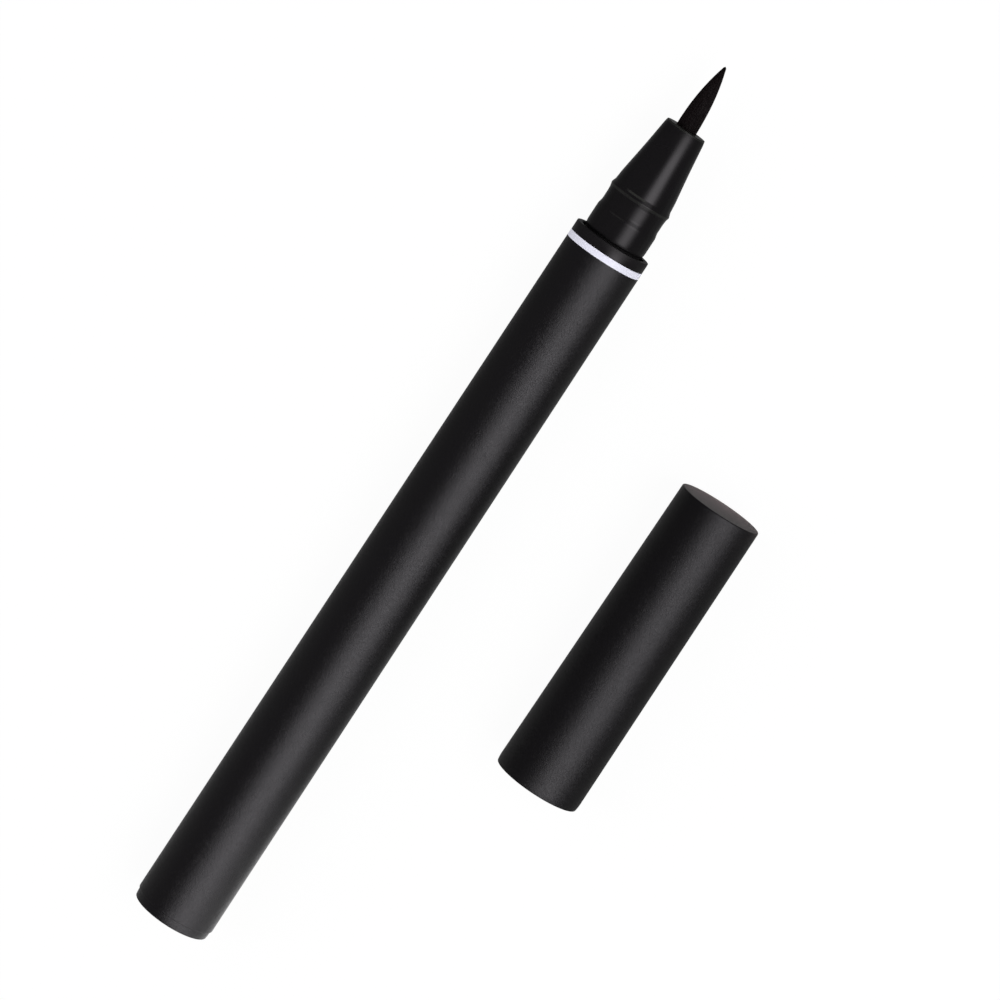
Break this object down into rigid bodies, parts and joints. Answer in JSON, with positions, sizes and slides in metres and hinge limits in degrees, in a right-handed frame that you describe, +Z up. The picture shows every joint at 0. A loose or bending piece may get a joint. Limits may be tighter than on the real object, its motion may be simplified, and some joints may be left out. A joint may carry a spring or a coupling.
{
  "type": "liquid eyeliner pen",
  "caption": "Slim round liquid eyeliner pen with a tapered nose and pointed brush tip, lying beside its pull-off cap with a sprung inner cap.",
  "frame": {"origin": "middle of the part's box in plan, on the table that the pen and its cap lie on", "axes": "+X along the pen from the tail to the brush tip, +Z up from the table, the cap lies on the -Y side of the pen"},
  "size_m": [0.1234, 0.0392, 0.0114],
  "materials": {
    "barrel_black": "satin black moulded plastic",
    "plug_black": "satin black moulded plastic",
    "ball_steel": "polished stainless steel",
    "collector_natural": "natural moulded plastic",
    "seal_rubber": "black rubber",
    "core_fibre": "bonded fibre rod",
    "nose_black": "smooth black moulded plastic",
    "ferrule_grey": "grey moulded plastic",
    "bristle_black": "fine black filament, wet with ink",
    "ring_white": "white plastic with a faint lilac tint",
    "collar_black": "satin black moulded plastic",
    "cap_black": "satin black moulded plastic",
    "liner_black": "smooth black moulded plastic",
    "inner_cap_natural": "natural moulded plastic",
    "spring_steel": "drawn stainless spring wire"
  },
  "bodies": {
    "pen": {"barrel": "barrel_black", "tail_plug": "plug_black", "collector": "collector_natural", "collector_seal": "seal_rubber", "feed_core": "core_fibre", "front_holder": "nose_black", "brush_ferrule": "ferrule_grey", "brush_bristles": "bristle_black", "white_ring": "ring_white", "front_collar": "collar_black"},
    "mixing_ball": {"mixing_ball": "ball_steel"},
    "cap": {"cap_shell": "cap_black", "cap_liner": "liner_black", "cap_spring": "spring_steel"},
    "inner_cap": {"inner_cap": "inner_cap_natural"}
  },
  "joints": [
    {"name": "cap_pull", "type": "slide", "parent": "pen", "child": "cap", "axis": [0.97, 0.2432, 0], "range_m": [0, 0.11608]},
    {"name": "inner_cap_slide", "type": "slide", "parent": "cap", "child": "inner_cap", "axis": [1, 0, 0], "range_m": [0, 0.0015], "stiffness_N_per_m": 300, "springref_m": -0.002, "deforming": ["cap_spring"]},
    {"name": "ball_roll", "type": "slide", "parent": "pen", "child": "mixing_ball", "axis": [-1, 0, 0], "range_m": [0, 0.0583]}
  ]
}
